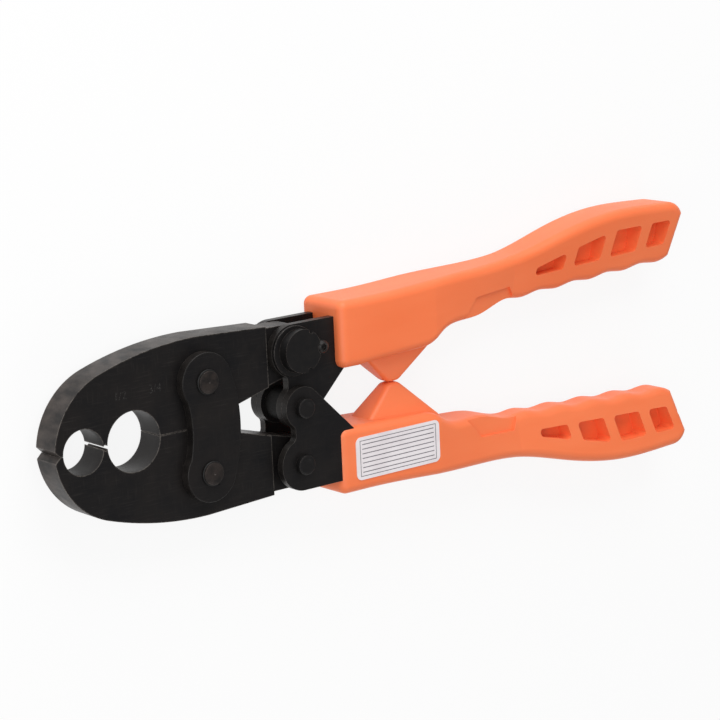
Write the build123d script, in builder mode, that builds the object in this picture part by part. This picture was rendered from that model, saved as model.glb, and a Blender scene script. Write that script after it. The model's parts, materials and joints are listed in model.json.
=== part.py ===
from build123d import *
import os
from math import cos, radians, sin, tan

# Two-size crimp tool for copper pipe rings, closed and lying on its side.
# X runs from the nose to the handle ends, Y to the upper handle, Z up through the dies.
# The origin is the centre of the large die, at half the thickness of the jaws.

# Jaws and their dies
large_die_radius = 12.1
small_die_radius = 9.0
die_spacing = 22.9
nose_reach = 35.4
jaw_height = 36.1
jaw_thickness = 13.5
jaw_shoulder_setback = 11.7
jaw_shoulder_height = 34.6
jaw_gap = 0.2
nose_corner = 2.2
cusp_relief = 1.5
relief_start = 28.6
relief_angle = 15.0
tang_thickness = 10.0
tang_lobe_radius = 10.4

# Front link
link_pin_reach = 32.8
link_pin_height = 18.4
link_pin_radius = 4.6
link_lobe_radius = 11.7
link_waist_reach = 24.7
link_back_reach = 47.8
link_plate_thickness = 4.0
link_pin_stand = 1.5

# Lever plates and their three pivots
link_to_pivot = 44.2
jaw_pivot_height = 23.2
centre_pivot_setback = 1.2
lever_plate_thickness = 3.3
jaw_lobe_radius = 10.8
centre_lobe_radius = 8.7
lever_waist_setback = 3.3
lever_heel_rise = 19.6
lever_waist_round = 2.6
lever_tail_length = 59.0
lever_tail_low = 18.0
lever_tail_high = 31.0
lever_pin_radius = 3.8
lever_head_radius = 4.2
lever_head_height = 2.6
sleeve_radius = 6.8
spacer_radius = 7.0

# Adjusting cam and its lock screw
cam_radius = 10.4
cam_flange_thickness = 1.2
cam_head_radius = 9.0
cam_head_height = 3.2
cam_head_offset = 1.6
cam_body_radius = 6.0
cam_journal_radius = 4.0
cam_offset = 0.5
cam_notches = 5
cam_notch_radius = 1.3
cam_swing = 3.5
lock_screw_distance = 12.6
lock_screw_radius = 1.6
lock_head_radius = 2.9
lock_head_height = 2.4
lock_head_room = 0.25
lock_socket_radius = 1.4

# Retaining rings
ring_thickness = 0.8
ring_lip = 0.3
ring_width = 1.7
ring_seat = 0.4
ring_opening = 3.0
ring_ear_radius = 1.1

# Clearances
plate_gap = 0.2
pin_clearance = 0.05
seat_clearance = 0.02
stop_gap = 0.3

# Grips, with lengths counted back from the jaw pivots
upper_grip_setback = 21.2
lower_grip_setback = 18.6
grip_width = 26.4
block_length = 72.2
taper_length = 49.0
hand_width = 19.6
hand_wedge = 0.18
grip_inner = 12.3
grip_outer = 40.2
neck_length = 124.5
neck_outer = 45.2
neck_inner = 26.0
hand_outer = 57.2
hand_rise_length = 56.0
end_length = 13.6
end_lean = 6.0
edge_round = 3.5
corner_round = 3.5

# Stop bosses under the grips
stop_setback = 55.7
stop_tip_length = 3.4
stop_tip_width = 4.4
stop_base_length = 34.0
stop_base_width = 13.0
stop_round = 1.0

# Finger bumps
bump_lead = 3.5
bump_pitch = 20.6
bump_count = 5
bump_depth = 1.7
bump_rise = 1.0
bump_height = 0.7

# Side pockets, neck panel and end notch
pocket_web = 3.0
pocket_lead = 8.5
pocket_height = 14.4
pocket_drop = 8.6
pocket_tail = 8.1
pocket_rib = 5.8
pocket_pitch = 21.9
pocket_count = 4
pocket_lean = 15.0
pocket_corner = 1.6
neck_panel_depth = 1.2
end_notch_radius = 1.6

# Write-on plate
label_length = 45.0
label_height = 18.0
label_corner = 2.6
label_thickness = 0.3
label_lead = 7.3
label_drop = 26.2

# Places that follow from the sizes above
jaw_face = jaw_thickness / 2
tang_face = tang_thickness / 2
link_inner_face = jaw_face + plate_gap
link_outer_face = link_inner_face + link_plate_thickness
inner_plate_face = tang_face + plate_gap
inner_plate_back = inner_plate_face + lever_plate_thickness
outer_plate_face = inner_plate_back + plate_gap
outer_plate_back = outer_plate_face + lever_plate_thickness
grip_face = grip_width / 2
small_die_reach = -die_spacing
jaw_pivot_reach = link_pin_reach + link_to_pivot
jaw_shoulder_reach = jaw_pivot_reach - jaw_shoulder_setback
centre_pivot_reach = jaw_pivot_reach + centre_pivot_setback
lever_waist_reach = jaw_pivot_reach - lever_waist_setback
lever_tail_reach = jaw_pivot_reach + lever_tail_length
upper_grip_front = jaw_pivot_reach + upper_grip_setback
lower_grip_front = jaw_pivot_reach + lower_grip_setback
taper_start = jaw_pivot_reach + block_length
taper_end = taper_start + taper_length
neck_reach = jaw_pivot_reach + neck_length
stop_reach = jaw_pivot_reach + stop_setback
bump_first = neck_reach + bump_lead
grip_end = bump_first + (bump_count - 1) * bump_pitch + end_length


def relief_height(reach):
    """Height of the relieved inner edge of a jaw at one place along it."""
    return jaw_gap / 2 + (reach - relief_start) * tan(radians(relief_angle))


def jaw():
    """The upper jaw: thick die block in front, thinner tang behind."""
    face = jaw_gap / 2
    flank_reach = link_pin_reach
    with BuildPart() as piece:
        with BuildSketch(Plane.XY):
            with BuildLine():
                nose = Polyline(
                    (relief_start, face),
                    (nose_corner - nose_reach, face),
                    (-nose_reach, face + nose_corner),
                )
                brow = ThreePointArc(
                    nose @ 1,
                    (0.79 * -nose_reach, 0.53 * jaw_height),
                    (0.39 * -nose_reach, 0.795 * jaw_height),
                )
                TangentArc(brow @ 1, (flank_reach, jaw_height), tangent=brow % 1)
                Polyline(
                    (flank_reach, jaw_height),
                    (jaw_shoulder_reach, jaw_shoulder_height),
                    (jaw_shoulder_reach, relief_height(jaw_shoulder_reach)),
                    (relief_start, face),
                )
            make_face()
            with Locations((0, 0)):
                Circle(large_die_radius, mode=Mode.SUBTRACT)
            with Locations((small_die_reach, 0)):
                Circle(small_die_radius, mode=Mode.SUBTRACT)
            cusp = (small_die_reach + small_die_radius - large_die_radius) / 2
            with Locations((cusp, 0)):
                RegularPolygon(cusp_relief, 4, rotation=0, mode=Mode.SUBTRACT)
        extrude(amount=jaw_face, both=True)
        with BuildSketch(Plane.XY):
            with BuildLine():
                Polyline(
                    (jaw_shoulder_reach - tang_thickness, relief_height(jaw_shoulder_reach - tang_thickness)),
                    (jaw_pivot_reach, jaw_pivot_height - tang_lobe_radius),
                    (jaw_pivot_reach, jaw_pivot_height + tang_lobe_radius),
                    (jaw_shoulder_reach - tang_thickness, jaw_pivot_height + tang_lobe_radius),
                    close=True,
                )
            make_face()
            with Locations((jaw_pivot_reach, jaw_pivot_height)):
                Circle(tang_lobe_radius)
        extrude(amount=tang_face, both=True)
        with Locations((link_pin_reach, link_pin_height)):
            Hole(link_pin_radius + pin_clearance)
    return piece


# Jaws
with BuildPart() as upper_jaw:
    add(jaw().part)
    with Locations((jaw_pivot_reach, jaw_pivot_height)):
        Hole(cam_journal_radius + cam_swing)
upper_jaw.part.label = "upper_jaw"

with BuildPart() as lower_jaw:
    add(mirror(jaw().part, about=Plane.XZ, mode=Mode.PRIVATE))
    with Locations((jaw_pivot_reach, -jaw_pivot_height)):
        Hole(lever_pin_radius + pin_clearance)
lower_jaw.part.label = "lower_jaw"


# Front link plates
def link_plate(base):
    """A dogbone plate that joins both jaws, hollow in front and bulged behind."""
    lobe = link_lobe_radius
    with BuildPart() as plate:
        with BuildSketch(Plane.XY.offset(base)):
            with BuildLine():
                shoulder = lobe * cos(radians(35))
                front_x = link_pin_reach - shoulder
                front_y = link_pin_height - lobe * sin(radians(35))
                back_x = link_pin_reach + lobe * cos(radians(12))
                back_y = link_pin_height + lobe * sin(radians(12))
                ThreePointArc((front_x, -front_y), (link_waist_reach, 0), (front_x, front_y))
                ThreePointArc(
                    (front_x, front_y),
                    (link_pin_reach - lobe * sin(radians(12)), link_pin_height + lobe * cos(radians(12))),
                    (back_x, back_y),
                )
                ThreePointArc((back_x, back_y), (link_back_reach, 0), (back_x, -back_y))
                ThreePointArc(
                    (back_x, -back_y),
                    (link_pin_reach - lobe * sin(radians(12)), -link_pin_height - lobe * cos(radians(12))),
                    (front_x, -front_y),
                )
            make_face()
            with Locations((link_pin_reach, link_pin_height), (link_pin_reach, -link_pin_height)):
                Circle(link_pin_radius + seat_clearance, mode=Mode.SUBTRACT)
        extrude(amount=link_plate_thickness)
        fillet(plate.edges().group_by(Axis.Z)[-1].filter_by(GeomType.CIRCLE), radius=0.4)
    return plate


near_link_plate = link_plate(link_inner_face)
near_link_plate.part.label = "near_link_plate"
far_link_plate = link_plate(-link_outer_face)
far_link_plate.part.label = "far_link_plate"

def link_pin(height):
    """A plain pin with a ring groove and a small centre mark at both ends."""
    half = link_outer_face + link_pin_stand
    with BuildPart() as pin:
        with BuildSketch(Plane.XY.offset(-half)):
            with Locations((link_pin_reach, height)):
                Circle(link_pin_radius)
        extrude(amount=2 * half)
        chamfer(pin.edges(), length=0.6)
        for base in (link_outer_face, -link_outer_face - ring_thickness):
            with BuildSketch(Plane.XY.offset(base)):
                with Locations((link_pin_reach, height)):
                    Circle(link_pin_radius)
                    Circle(link_pin_radius - ring_seat, mode=Mode.SUBTRACT)
            extrude(amount=ring_thickness, mode=Mode.SUBTRACT)
        with Locations(Location((link_pin_reach, height, half))):
            Cone(0.2, 1.5, 1.3, align=(Align.CENTER, Align.CENTER, Align.MAX), mode=Mode.SUBTRACT)
        with Locations(Location((link_pin_reach, height, -half), (180, 0, 0))):
            Cone(0.2, 1.5, 1.3, align=(Align.CENTER, Align.CENTER, Align.MAX), mode=Mode.SUBTRACT)
    return pin


upper_link_pin = link_pin(link_pin_height)
upper_link_pin.part.label = "upper_link_pin"
lower_link_pin = link_pin(-link_pin_height)
lower_link_pin.part.label = "lower_link_pin"


def retaining_ring(reach, height, base, shaft_radius, turn):
    """An open ring in a shaft's groove, with an eared mouth turned to one side."""
    inner = shaft_radius - ring_seat + seat_clearance
    outer = inner + ring_width
    side = Vector(1, 0, 0).rotate(Axis.Z, turn)
    with BuildPart() as ring:
        with BuildSketch(Plane(origin=(reach, height, base), x_dir=side, z_dir=(0, 0, 1))):
            Circle(outer)
            ear = ring_opening / 2 + ring_ear_radius
            with Locations((ear, -inner - ring_width / 2), (-ear, -inner - ring_width / 2)):
                Circle(ring_ear_radius)
            Circle(inner, mode=Mode.SUBTRACT)
            with Locations((0, -outer)):
                Rectangle(ring_opening, 2 * outer, mode=Mode.SUBTRACT)
        extrude(amount=ring_thickness)
    return ring


far_ring_base = -link_outer_face - ring_thickness
upper_near_ring = retaining_ring(link_pin_reach, link_pin_height, link_outer_face, link_pin_radius, 0)
upper_near_ring.part.label = "upper_near_ring"
lower_near_ring = retaining_ring(link_pin_reach, -link_pin_height, link_outer_face, link_pin_radius, 0)
lower_near_ring.part.label = "lower_near_ring"
upper_far_ring = retaining_ring(link_pin_reach, link_pin_height, far_ring_base, link_pin_radius, 0)
upper_far_ring.part.label = "upper_far_ring"
lower_far_ring = retaining_ring(link_pin_reach, -link_pin_height, far_ring_base, link_pin_radius, 0)
lower_far_ring.part.label = "lower_far_ring"


# Lever plates, the inner pair on the upper handle and the outer pair on the lower one
def lever_plate(base):
    """A plate from the jaw pivot and the centre pivot back into the grip."""
    lean = centre_lobe_radius * cos(radians(45))
    heel = (centre_pivot_reach + lean + lever_heel_rise, lever_heel_rise - lean)
    with BuildPart() as plate:
        with BuildSketch(Plane.XY.offset(base)) as sketch:
            with BuildLine():
                Polyline(
                    (lever_waist_reach, 0),
                    (lever_waist_reach, jaw_pivot_height),
                    (jaw_pivot_reach, jaw_pivot_height + jaw_lobe_radius),
                    (heel[0], jaw_pivot_height + jaw_lobe_radius),
                    (lever_tail_reach, lever_tail_high),
                    (lever_tail_reach, lever_tail_low),
                    heel,
                    (centre_pivot_reach + lean, -lean),
                    close=True,
                )
            make_face()
            with Locations((jaw_pivot_reach, jaw_pivot_height)):
                Circle(jaw_lobe_radius)
            with Locations((centre_pivot_reach, 0)):
                Circle(centre_lobe_radius)
            waist = sketch.vertices().filter_by_position(Axis.X, lever_waist_reach - 0.1, lever_waist_reach + 0.1)
            fillet(waist, radius=lever_waist_round)
        extrude(amount=lever_plate_thickness)
    return plate


with BuildPart() as near_upper_lever_plate:
    add(lever_plate(inner_plate_face).part)
    with Locations((centre_pivot_reach, 0)):
        Hole(lever_pin_radius + pin_clearance)
    with Locations((jaw_pivot_reach, jaw_pivot_height)):
        Hole(cam_body_radius + seat_clearance)
    with Locations((jaw_pivot_reach + lock_screw_distance, jaw_pivot_height)):
        Hole(lock_screw_radius + seat_clearance)
near_upper_lever_plate.part.label = "near_upper_lever_plate"

with BuildPart() as far_upper_lever_plate:
    add(lever_plate(-inner_plate_back).part)
    with Locations((centre_pivot_reach, 0)):
        Hole(lever_pin_radius + pin_clearance)
    with Locations((jaw_pivot_reach, jaw_pivot_height)):
        Hole(cam_journal_radius + seat_clearance)
far_upper_lever_plate.part.label = "far_upper_lever_plate"


def lower_lever_plate(base):
    """One of the outer pair of plates, seated on the centre pin and the lower jaw pin."""
    with BuildPart() as plate:
        add(mirror(lever_plate(base).part, about=Plane.XZ, mode=Mode.PRIVATE))
        with Locations((centre_pivot_reach, 0), (jaw_pivot_reach, -jaw_pivot_height)):
            Hole(lever_pin_radius + seat_clearance)
    return plate


near_lower_lever_plate = lower_lever_plate(outer_plate_face)
near_lower_lever_plate.part.label = "near_lower_lever_plate"
far_lower_lever_plate = lower_lever_plate(-outer_plate_back)
far_lower_lever_plate.part.label = "far_lower_lever_plate"


# Headed pins of the lever plates
def headed_pin(reach, height):
    """A pin with a chamfered head on the near side and a ring groove on the far side."""
    ring_base = -outer_plate_back - ring_thickness
    with BuildPart() as pin:
        with BuildSketch(Plane.XY.offset(ring_base - ring_lip)):
            with Locations((reach, height)):
                Circle(lever_pin_radius)
        extrude(amount=outer_plate_back - ring_base + ring_lip)
        chamfer(pin.edges().group_by(Axis.Z)[0], length=0.25)
        with BuildSketch(Plane.XY.offset(ring_base)):
            with Locations((reach, height)):
                Circle(lever_pin_radius)
                Circle(lever_pin_radius - ring_seat, mode=Mode.SUBTRACT)
        extrude(amount=ring_thickness, mode=Mode.SUBTRACT)
        with BuildSketch(Plane.XY.offset(outer_plate_back)):
            with Locations((reach, height)):
                Circle(lever_head_radius)
        extrude(amount=lever_head_height)
        chamfer(pin.edges().group_by(Axis.Z)[-1], length=0.8)
        with Locations(Location((reach, height, outer_plate_back + lever_head_height))):
            Cone(0.2, 1.5, 1.3, align=(Align.CENTER, Align.CENTER, Align.MAX), mode=Mode.SUBTRACT)
    return pin


centre_pivot_pin = headed_pin(centre_pivot_reach, 0)
centre_pivot_pin.part.label = "centre_pivot_pin"
lower_jaw_pin = headed_pin(jaw_pivot_reach, -jaw_pivot_height)
lower_jaw_pin.part.label = "lower_jaw_pin"

pin_ring_base = -outer_plate_back - ring_thickness
centre_pin_ring = retaining_ring(centre_pivot_reach, 0, pin_ring_base, lever_pin_radius, 90)
centre_pin_ring.part.label = "centre_pin_ring"
jaw_pin_ring = retaining_ring(jaw_pivot_reach, -jaw_pivot_height, pin_ring_base, lever_pin_radius, 90)
jaw_pin_ring.part.label = "jaw_pin_ring"


def spacer(reach, height, base, length, radius):
    """A plain sleeve round one of the headed pins."""
    with BuildPart() as sleeve:
        with BuildSketch(Plane.XY.offset(base)):
            with Locations((reach, height)):
                Circle(radius)
                Circle(lever_pin_radius + seat_clearance, mode=Mode.SUBTRACT)
        extrude(amount=length)
    return sleeve


sleeve_half = inner_plate_face - plate_gap / 2
spacer_length = outer_plate_face - tang_face - plate_gap / 2
centre_spacer = spacer(centre_pivot_reach, 0, -sleeve_half, 2 * sleeve_half, sleeve_radius)
centre_spacer.part.label = "centre_spacer"
near_jaw_pin_spacer = spacer(
    jaw_pivot_reach, -jaw_pivot_height, outer_plate_face - spacer_length, spacer_length, spacer_radius
)
near_jaw_pin_spacer.part.label = "near_jaw_pin_spacer"
far_jaw_pin_spacer = spacer(jaw_pivot_reach, -jaw_pivot_height, -outer_plate_face, spacer_length, spacer_radius)
far_jaw_pin_spacer.part.label = "far_jaw_pin_spacer"

# Adjusting cam, its ring and the screw that locks one of its rim notches
with BuildPart() as adjusting_cam:
    with BuildSketch(Plane.XY.offset(inner_plate_back + cam_flange_thickness)):
        with Locations((jaw_pivot_reach + cam_head_offset, jaw_pivot_height)):
            Circle(cam_head_radius)
            with PolarLocations(cam_head_radius, cam_notches):
                Circle(cam_notch_radius, mode=Mode.SUBTRACT)
    extrude(amount=cam_head_height)
    chamfer(adjusting_cam.edges().group_by(Axis.Z)[-1], length=0.4)
    with BuildSketch(Plane.XY.offset(inner_plate_back)):
        with Locations((jaw_pivot_reach, jaw_pivot_height)):
            Circle(cam_radius)
    extrude(amount=cam_flange_thickness)
    with BuildSketch(Plane.XY.offset(inner_plate_back)):
        with Locations((jaw_pivot_reach + lock_screw_distance, jaw_pivot_height)):
            Circle(lock_head_radius + lock_head_room)
    extrude(amount=cam_flange_thickness + cam_head_height, mode=Mode.SUBTRACT)
    with BuildSketch(Plane.XY.offset(inner_plate_face)):
        with Locations((jaw_pivot_reach, jaw_pivot_height)):
            Circle(cam_body_radius)
    extrude(amount=lever_plate_thickness)
    with BuildSketch(Plane.XY.offset(-inner_plate_face)):
        with Locations((jaw_pivot_reach + cam_offset, jaw_pivot_height)):
            Circle(cam_journal_radius)
    extrude(amount=2 * inner_plate_face)
    with BuildSketch(Plane.XY.offset(-inner_plate_back - ring_thickness - ring_lip)):
        with Locations((jaw_pivot_reach, jaw_pivot_height)):
            Circle(cam_journal_radius)
    extrude(amount=lever_plate_thickness + ring_thickness + ring_lip)
    with BuildSketch(Plane.XY.offset(-inner_plate_back - ring_thickness)):
        with Locations((jaw_pivot_reach, jaw_pivot_height)):
            Circle(cam_journal_radius)
            Circle(cam_journal_radius - ring_seat, mode=Mode.SUBTRACT)
    extrude(amount=ring_thickness, mode=Mode.SUBTRACT)
adjusting_cam.part.label = "adjusting_cam"

cam_ring_base = -inner_plate_back - ring_thickness
cam_ring = retaining_ring(jaw_pivot_reach, jaw_pivot_height, cam_ring_base, cam_journal_radius, 90)
cam_ring.part.label = "cam_ring"

with BuildPart() as cam_lock_screw:
    screw_head_base = inner_plate_back
    with BuildSketch(Plane.XY.offset(inner_plate_face)):
        with Locations((jaw_pivot_reach + lock_screw_distance, jaw_pivot_height)):
            Circle(lock_screw_radius)
    extrude(amount=screw_head_base - inner_plate_face)
    with BuildSketch(Plane.XY.offset(screw_head_base)):
        with Locations((jaw_pivot_reach + lock_screw_distance, jaw_pivot_height)):
            Circle(lock_head_radius)
    extrude(amount=lock_head_height)
    fillet(cam_lock_screw.edges().group_by(Axis.Z)[-1], radius=lock_head_height / 2)
    with BuildSketch(Plane.XY.offset(screw_head_base + lock_head_height)):
        with Locations((jaw_pivot_reach + lock_screw_distance, jaw_pivot_height)):
            RegularPolygon(lock_socket_radius, 6)
    extrude(amount=-1.4, mode=Mode.SUBTRACT)
cam_lock_screw.part.label = "cam_lock_screw"


# Grips
def hand_envelope(inset):
    """The thickness of a grip: an even front block that thins to a wedge in the hand."""
    front = grip_face - inset
    low_edge = grip_inner
    high_edge = hand_outer + edge_round
    low = hand_width / 2 + hand_wedge * (low_edge - neck_outer) - inset
    high = hand_width / 2 + hand_wedge * (high_edge - neck_outer) - inset
    with BuildPart() as envelope:
        with BuildSketch(Plane.YZ.offset(lower_grip_front - 1)):
            with Locations((high_edge / 2, 0)):
                Rectangle(high_edge + 2, 2 * front)
        extrude(amount=taper_start - lower_grip_front + 1)
        with BuildSketch(Plane.YZ.offset(taper_start)):
            Polygon((low_edge, -front), (high_edge, -front), (high_edge, front), (low_edge, front), align=None)
        with BuildSketch(Plane.YZ.offset(taper_end)):
            Polygon((low_edge, -low), (high_edge, -high), (high_edge, high), (low_edge, low), align=None)
        loft(ruled=True)
        with BuildSketch(Plane.YZ.offset(taper_end)):
            Polygon((low_edge, -low), (high_edge, -high), (high_edge, high), (low_edge, low), align=None)
        extrude(amount=grip_end - taper_end + edge_round)
    return envelope


def grip_outline(front):
    """Side view of the upper grip: deep front block, slim neck, finger bumps and a full rear end."""
    with BuildSketch() as outline:
        with BuildLine():
            top = Line((front, grip_outer), (front + block_length / 5, grip_outer))
            back = Spline(
                top @ 1,
                (taper_start + taper_length / 4, grip_outer + 2.2),
                (neck_reach, neck_outer),
                (neck_reach + hand_rise_length / 2, (neck_outer + hand_outer) / 2 + 0.9),
                (neck_reach + hand_rise_length, hand_outer - 0.4),
                (grip_end - 8, hand_outer - 0.7),
                tangents=((1, 0), (1, -0.04)),
            )
            heel = Line((grip_end, hand_outer - end_lean), (grip_end - end_lean, neck_inner + 5.7))
            TangentArc(back @ 1, heel @ 0, tangent=back % 1)
            crest = neck_inner - bump_height
            crests = [(bump_first + n * bump_pitch, crest + n * bump_rise) for n in range(bump_count)]
            dips = [(crests[n][0] + bump_pitch / 2, crests[n][1] + bump_depth) for n in range(bump_count - 1)]
            bumps = [point for pair in zip(crests, dips) for point in pair] + [crests[-1]]
            throat = (taper_start + 6, grip_inner + 7.0)
            hand = Spline(
                (taper_start - 7, grip_inner + 1.8),
                (taper_start - 0.5, grip_inner + 3.2),
                throat,
                (throat[0] + (neck_reach - throat[0]) / 2, (throat[1] + neck_inner) / 2 - 0.7),
                (neck_reach - 5, neck_inner),
                *bumps,
                heel @ 1,
            )
            Polyline(hand @ 0, (front + block_length / 7, grip_inner), (front, grip_inner), top @ 0)
        make_face()
    return outline


def stop_boss():
    """The blunt wedge under the grip that meets its twin when the tool is closed."""
    tip = stop_gap / 2
    base = grip_inner + edge_round / 2
    with BuildPart() as wedge:
        with BuildSketch(Plane.XZ.offset(-tip)):
            with Locations((stop_reach, 0)):
                Rectangle(stop_tip_length, stop_tip_width)
        with BuildSketch(Plane.XZ.offset(-base)):
            with Locations((stop_reach, 0)):
                Rectangle(stop_base_length, stop_base_width)
        loft(ruled=True)
        fillet(wedge.edges().filter_by_position(Axis.Y, -1, base - 1), radius=stop_round)
        with BuildSketch(Plane.XZ.offset(-base)):
            with Locations((stop_reach, 0)):
                Rectangle(stop_base_length, stop_base_width)
        extrude(amount=-edge_round)
    return wedge


def pockets():
    """Blind pockets between leaning ribs, drawn on the side of the upper grip."""
    start = neck_reach + pocket_lead
    end = grip_end - pocket_tail
    high = hand_outer - pocket_drop
    low = high - pocket_height
    first_rib = start + pocket_pitch
    with BuildSketch() as layout:
        with BuildLine():
            Polyline(
                (start, low),
                (start + 1.5, low + pocket_height / 4),
                (first_rib, low + 0.6 * pocket_height),
                (first_rib + pocket_pitch + 2, high - 0.4),
                (end, high),
                (end - 3.5, low + pocket_height / 4),
                close=True,
            )
        make_face()
        for n in range(pocket_count - 1):
            with Locations(Location((first_rib + n * pocket_pitch, (low + high) / 2), -pocket_lean)):
                Rectangle(pocket_rib, 2 * pocket_height, mode=Mode.SUBTRACT)
        fillet(layout.vertices(), radius=pocket_corner)
    return layout


def grip(front, plate_bases):
    """The upper grip: rounded all along, with ribbed pockets and slots for its plates."""
    with BuildPart() as body:
        add(grip_outline(front).sketch)
        extrude(amount=grip_face, both=True)
        add(hand_envelope(0).part, mode=Mode.INTERSECT)
        upright = body.edges().filter_by(Axis.Z)
        fillet(upright.filter_by_position(Axis.X, front - 0.1, front + 0.1), radius=corner_round)
        side_edges = [edge for edge in body.edges() if abs(edge.center().Z) > edge_round]
        long_edges = [edge for edge in side_edges if abs((edge % 0.5).X) > 0.05]
        fillet(long_edges, radius=edge_round)
        add(stop_boss().part)
        for side in (1, -1):
            add(pockets().sketch.moved(Location((0, 0, side * pocket_web / 2))))
            extrude(amount=side * grip_face, mode=Mode.SUBTRACT)
            add(neck_recess(side).part, mode=Mode.SUBTRACT)
        with Locations((grip_end - end_lean / 2, (hand_outer + neck_inner) / 2)):
            Hole(end_notch_radius)
        for base in plate_bases:
            add(lever_plate(base).part, mode=Mode.SUBTRACT)
    return body


def neck_recess(side):
    """A shallow sunk panel on one side of the neck, along its finger edge."""
    start = taper_start + taper_length / 3
    with BuildPart() as panel:
        with BuildSketch(Plane.XY):
            with BuildLine():
                edge = Polyline((start, grip_inner + 8), (neck_reach - 22, grip_inner + 8), (neck_reach, grip_inner + 10))
                Polyline(
                    edge @ 1,
                    (neck_reach - 6, neck_inner + 5.8),
                    (neck_reach - 27, neck_inner + 4.6),
                    edge @ 0,
                )
            make_face()
        extrude(amount=side * grip_face)
        add(hand_envelope(neck_panel_depth).part, mode=Mode.SUBTRACT)
    return panel


upper_grip = grip(upper_grip_front, (inner_plate_face, -inner_plate_back))
upper_grip.part.label = "upper_grip"

with BuildPart() as lower_grip:
    blank = grip(lower_grip_front, (outer_plate_face, -outer_plate_back))
    add(mirror(blank.part, about=Plane.XZ, mode=Mode.PRIVATE))
lower_grip.part.label = "lower_grip"

# Blank write-on plate on the near side of the lower grip
with BuildPart() as write_on_plate:
    with BuildSketch(Plane.XY.offset(grip_face)):
        with Locations((lower_grip_front + label_lead + label_length / 2, -label_drop)):
            RectangleRounded(label_length, label_height, label_corner)
    extrude(amount=label_thickness)
write_on_plate.part.label = "write_on_plate"

os.makedirs("parts", exist_ok=True)
pieces = (
    near_link_plate,
    far_link_plate,
    upper_link_pin,
    lower_link_pin,
    upper_near_ring,
    lower_near_ring,
    upper_far_ring,
    lower_far_ring,
    upper_jaw,
    lower_jaw,
    near_upper_lever_plate,
    far_upper_lever_plate,
    adjusting_cam,
    cam_lock_screw,
    cam_ring,
    near_lower_lever_plate,
    far_lower_lever_plate,
    lower_jaw_pin,
    near_jaw_pin_spacer,
    far_jaw_pin_spacer,
    centre_pivot_pin,
    centre_spacer,
    centre_pin_ring,
    jaw_pin_ring,
    upper_grip,
    lower_grip,
    write_on_plate,
)
for piece in pieces:
    export_step(piece.part, f"parts/{piece.part.label}.step")
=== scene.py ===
"""Looks of a two-size crimp tool for copper pipe rings, closed and lying on its side."""

import json
import logging
import math
from dataclasses import dataclass, field
from enum import Enum
from typing import Callable, Sequence

import bpy
from mathutils import Matrix, Vector

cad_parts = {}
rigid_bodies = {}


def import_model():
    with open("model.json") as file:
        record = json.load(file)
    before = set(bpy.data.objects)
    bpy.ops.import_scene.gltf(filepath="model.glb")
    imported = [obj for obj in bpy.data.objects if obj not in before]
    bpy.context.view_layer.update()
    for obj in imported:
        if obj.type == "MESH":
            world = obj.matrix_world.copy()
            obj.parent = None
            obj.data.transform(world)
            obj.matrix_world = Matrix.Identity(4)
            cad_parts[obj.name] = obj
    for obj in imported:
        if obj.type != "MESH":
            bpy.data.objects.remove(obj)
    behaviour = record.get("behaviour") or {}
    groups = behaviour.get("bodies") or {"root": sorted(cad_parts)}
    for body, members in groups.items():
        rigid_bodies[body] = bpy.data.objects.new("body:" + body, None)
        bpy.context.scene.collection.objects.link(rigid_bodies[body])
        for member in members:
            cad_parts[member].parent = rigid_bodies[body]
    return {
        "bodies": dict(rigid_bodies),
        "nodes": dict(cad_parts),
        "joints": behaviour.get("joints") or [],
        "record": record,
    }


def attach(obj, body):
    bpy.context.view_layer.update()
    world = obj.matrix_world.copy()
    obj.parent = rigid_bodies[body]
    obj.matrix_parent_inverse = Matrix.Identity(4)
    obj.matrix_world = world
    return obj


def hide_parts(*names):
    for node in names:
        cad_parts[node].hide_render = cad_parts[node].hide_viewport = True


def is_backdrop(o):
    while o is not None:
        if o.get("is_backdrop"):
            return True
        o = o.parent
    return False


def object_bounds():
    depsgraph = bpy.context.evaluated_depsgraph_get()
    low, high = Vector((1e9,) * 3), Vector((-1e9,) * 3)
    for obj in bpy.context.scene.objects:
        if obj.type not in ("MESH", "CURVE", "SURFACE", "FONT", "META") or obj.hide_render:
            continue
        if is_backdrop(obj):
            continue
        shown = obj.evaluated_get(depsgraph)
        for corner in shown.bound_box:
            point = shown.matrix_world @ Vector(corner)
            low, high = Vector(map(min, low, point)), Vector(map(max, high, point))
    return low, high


LOG = logging.getLogger("crimp_tool")
MM = 0.001
WELD_M = 1e-6
SMOOTH_DEG = 32.0

Pair = tuple[float, float]
Triple = tuple[float, float, float]
Colour = Triple
Socket = bpy.types.NodeSocket
Piece = bpy.types.Object
Paint = bpy.types.Material
Nodes = dict[str, bpy.types.Object]
WHITE: Colour = (1.0, 1.0, 1.0)


class Body(Enum):
    """The rigid bodies that pieces ride on."""

    FRONT_LINK = "front_link"
    UPPER_JAW = "upper_jaw"
    UPPER_HANDLE = "upper_handle"
    LOWER_HANDLE = "lower_handle"


class Slot(Enum):
    """The material slots of the record."""

    BLACK_STEEL = "black_oxide_steel"
    PIN_STEEL = "dark_pin_steel"
    SPRING_STEEL = "spring_steel"
    GRIP = "orange_grip"
    LABEL = "write_on_label"


def rgba(colour: Colour) -> tuple[float, float, float, float]:
    """Adds the alpha of an opaque colour.

    Args:
        colour: Red, green and blue.

    Returns:
        The colour with an alpha of 1.
    """
    return (*colour, 1.0)


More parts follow.
